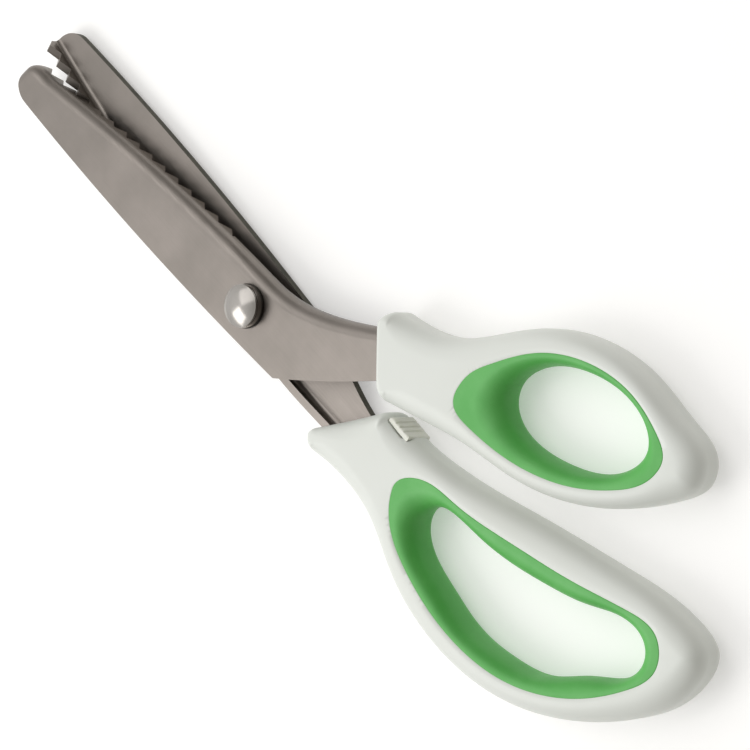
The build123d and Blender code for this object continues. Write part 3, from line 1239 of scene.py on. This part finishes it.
    def build_grip(self) -> bpy.types.Object:
        """Models the soft insert, rounded over into the opening.

        Returns:
            The insert.
        """
        inward = -outward(self.opening)
        room = 0.82 * nearest(self.opening, self.seam)
        widths = eased(np.minimum(self.lip_width * MM, room), self.ease_passes)
        drops = np.full(self.stations, self.half)
        under = eased(np.minimum(self.under_lip * MM, room), self.ease_passes)
        upper_lip = self.rounding(self.opening, inward, widths, drops)
        lip = self.skin("lip", upper_lip, self.rounding(self.opening, inward, under, drops))
        parting = self.parting_rings(self.seam, outward(self.seam))
        wall = self.skin("wall", parting, parting)
        grip = self.shape(f"{self.grip_node}_insert", [lip, wall])
        shade(grip)
        return grip

    def build(self, frame: dict, shell: bpy.types.Material, insert: bpy.types.Material) -> None:
        """Makes, dresses and seats both pieces.

        Args:
            shell: the shell's material.
            insert: the insert's material.
        """
        self.measure(frame)
        made = (
            (self.build_shell(frame), self.shell_node, "white_shell", shell),
            (self.build_grip(), self.grip_node, "green_grip", insert),
        )
        for piece, node, slot, material in made:
            set_material(piece, material)
            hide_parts(node)
            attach(piece, self.body)
            LOG.info("%s: %d faces", piece.name, len(piece.data.polygons))


# ------------------------------------------------------------------------------------------ steel and pivot


class CadDress(Enum):
    """CAD nodes that keep their shape, and the finish that each one gets."""

    PIVOT_SCREW = ("pivot_screw", BUFFED_STEEL)
    # The head washer's black is painted shade round the foot of the head.
    HEAD_WASHER = ("head_washer", BLACK_STEEL_AND_SHADE)
    FRONT_FRICTION_WASHER = ("front_friction_washer", NYLON)
    SPRING_WASHER = ("spring_washer", BLACK_STEEL_AND_SHADE)
    SPACER_SLEEVE = ("spacer_sleeve", BUFFED_STEEL)
    REAR_FRICTION_WASHER = ("rear_friction_washer", NYLON)
    PIVOT_NUT = ("pivot_nut", BUFFED_STEEL)
    STOP_BUMPER = ("stop_bumper", FROSTED_PVC)


@dataclass
class Hardware:
    """The pivot's pieces and the bumper, which show as the CAD has them."""

    materials: dict[str, bpy.types.Material] = field(default_factory=dict)

    def material(self, finish: Finish) -> bpy.types.Material:
        """The material of a finish, made once.

        Args:
            finish: the finish.

        Returns:
            Its material.
        """
        if finish.name not in self.materials:
            self.materials[finish.name] = finish.build()
        return self.materials[finish.name]

    def dress(self, frame: dict) -> None:
        """Gives each of these CAD nodes its finish.
        """
        for entry in CadDress:
            node, finish = entry.value
            set_material(frame["nodes"][node], self.material(finish))
            LOG.info("%s: %s", node, finish.name)


# ------------------------------------------------------------------------------------------ studio


@dataclass
class Studio:
    """Floor, lights and camera.

    Attributes:
        azimuth: the camera's direction round the shears, in degrees.
        elevation: its height above the horizon, in degrees.
        distance: from the camera to the point it looks at, in metres.
        aim: that point, in the shears' frame.
        lens: focal length, in millimetres, for the default sensor.
        floor_half: half the floor's side, in metres.
    """

    azimuth: float = -49.0
    elevation: float = 50.0
    distance: float = 0.6
    aim: tuple[float, float, float] = (-0.03547, -0.01039, 0.00585)
    lens: float = 132.72
    floor_half: float = 1.5
    right: Vector = field(init=False)
    up: Vector = field(init=False)

    def back(self) -> Vector:
        """The direction from the shears to the camera."""
        a, e = math.radians(self.azimuth), math.radians(self.elevation)
        return Vector((math.sin(a) * math.cos(e), -math.cos(a) * math.cos(e), math.sin(e)))

    def add_camera(self) -> None:
        """Places the camera, turned on its side so that its top edge is level."""
        data = bpy.data.cameras.new("camera")
        data.lens = self.lens
        data.clip_start = 0.01
        camera = bpy.data.objects.new("camera", data)
        bpy.context.scene.collection.objects.link(camera)
        back = self.back()
        a = math.radians(self.azimuth)
        up = Vector((math.cos(a), math.sin(a), 0.0))
        right = up.cross(back)
        turn = Matrix((right, up, back)).transposed().to_4x4()
        camera.matrix_world = Matrix.Translation(Vector(self.aim) + back * self.distance) @ turn
        bpy.context.scene.camera = camera
        self.right, self.up = right, up

    def add_floor(self, height: float) -> None:
        """Lays the pale floor at the height that the shears rest on.

        Args:
            height: that height, in metres.
        """
        deselect_all()
        bpy.ops.mesh.primitive_plane_add(size=2 * self.floor_half, location=(0, 0, height))
        floor = bpy.context.active_object
        floor.name = "floor"
        material = bpy.data.materials.new("pale_paper")
        material.use_nodes = True
        shader = next(n for n in material.node_tree.nodes if n.type == "BSDF_PRINCIPLED")
        shader.inputs["Base Color"].default_value = hex_to_linear("#dedddb")
        shader.inputs["Roughness"].default_value = 0.9
        shader.inputs["Specular IOR Level"].default_value = 0.1
        shader.inputs["Emission Color"].default_value = (1.0, 1.0, 1.0, 1.0)
        shader.inputs["Emission Strength"].default_value = 0.35
        floor.data.materials.append(material)
        floor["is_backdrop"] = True

    def add_light(self, name: str, offset: tuple[float, float, float], size: float, power: float) -> None:
        """Hangs a square soft light.

        Args:
            name: the light's name.
            offset: its place from the aim, in metres: to the camera's right, to its top edge, and up.
            size: its side, in metres.
            power: its power, in watts.
        """
        data = bpy.data.lights.new(name, "AREA")
        data.shape = "SQUARE"
        data.size = size
        data.energy = power
        lamp = bpy.data.objects.new(name, data)
        bpy.context.scene.collection.objects.link(lamp)
        level_right = Vector((self.right.x, self.right.y, 0)).normalized()
        aim = Vector(self.aim)
        place = aim + level_right * offset[0] + self.up * offset[1] + Vector((0, 0, offset[2]))
        lamp.location = place
        lamp.rotation_mode = "QUATERNION"
        lamp.rotation_quaternion = (aim - place).to_track_quat("-Z", "Y")

    def add_world(self) -> None:
        """Soft light from the upper left all round, falling off towards the right and the horizon."""
        world = bpy.data.worlds.new("studio")
        bpy.context.scene.world = world
        world.use_nodes = True
        tree = world.node_tree
        background = next(n for n in tree.nodes if n.type == "BACKGROUND")
        level_left = Vector((-self.right.x, -self.right.y, 0)).normalized()
        towards = (level_left * 0.75 + Vector((0, 0, 0.66))).normalized()
        direction = add_node(tree, "ShaderNodeTexCoord").outputs["Generated"]
        along = add_node(
            tree, "ShaderNodeVectorMath", {0: direction, 1: towards[:]}, operation="DOT_PRODUCT"
        ).outputs["Value"]
        share = add_node(tree, "ShaderNodeMapRange", {"Value": along, "From Min": -0.2, "From Max": 1.0})
        colour = add_node(
            tree,
            "ShaderNodeMix",
            {0: share.outputs["Result"], 6: hex_to_linear("#4a4335"), 7: hex_to_linear("#ffffff")},
            data_type="RGBA",
        )
        tree.links.new(colour.outputs[2], background.inputs["Color"])
        background.inputs["Strength"].default_value = 1.15

    def build(self, floor_height: float) -> None:
        """Sets the whole studio up.

        Args:
            floor_height: the height that the shears rest on, in metres.
        """
        self.add_camera()
        self.add_floor(floor_height)
        self.add_light("key", (-0.35, -0.2, 0.42), 0.35, 1.0)
        self.add_light("top", (-0.2, 0.5, 0.9), 0.8, 2.0)
        self.add_world()
        view = bpy.context.scene.view_settings
        view.view_transform = "Standard"


# ------------------------------------------------------------------------------------------ main


def main() -> None:
    """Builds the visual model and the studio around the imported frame."""
    logging.basicConfig(level=logging.INFO, format="%(name)s: %(message)s")
    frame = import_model()
    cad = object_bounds()
    hardware = Hardware()
    hardware.dress(frame)
    steels = (SATIN_STEEL.build(), SHEARED_STEEL_AND_DARK_REFLECTION.build(), GROUND_STEEL_AND_SHADE.build())
    blades = (
        PressedBlade("front_blade", "thumb_side", 1),
        PressedBlade("rear_blade", "finger_side", -1),
    )
    for blade in blades:
        blade.build(frame, steels)
    shell, insert = WHITE_ABS.build(), GREEN_TPR.build()
    handles = (
        LoopHandle("finger_handle", "finger_grip", "rear_blade", "finger_side", 7),
        LoopHandle("thumb_handle", "thumb_grip", "front_blade", "thumb_side", 3),
    )
    for handle in handles:
        handle.build(frame, shell, insert)
    Studio().build(cad[0].z)


if __name__ == "__main__":
    main()
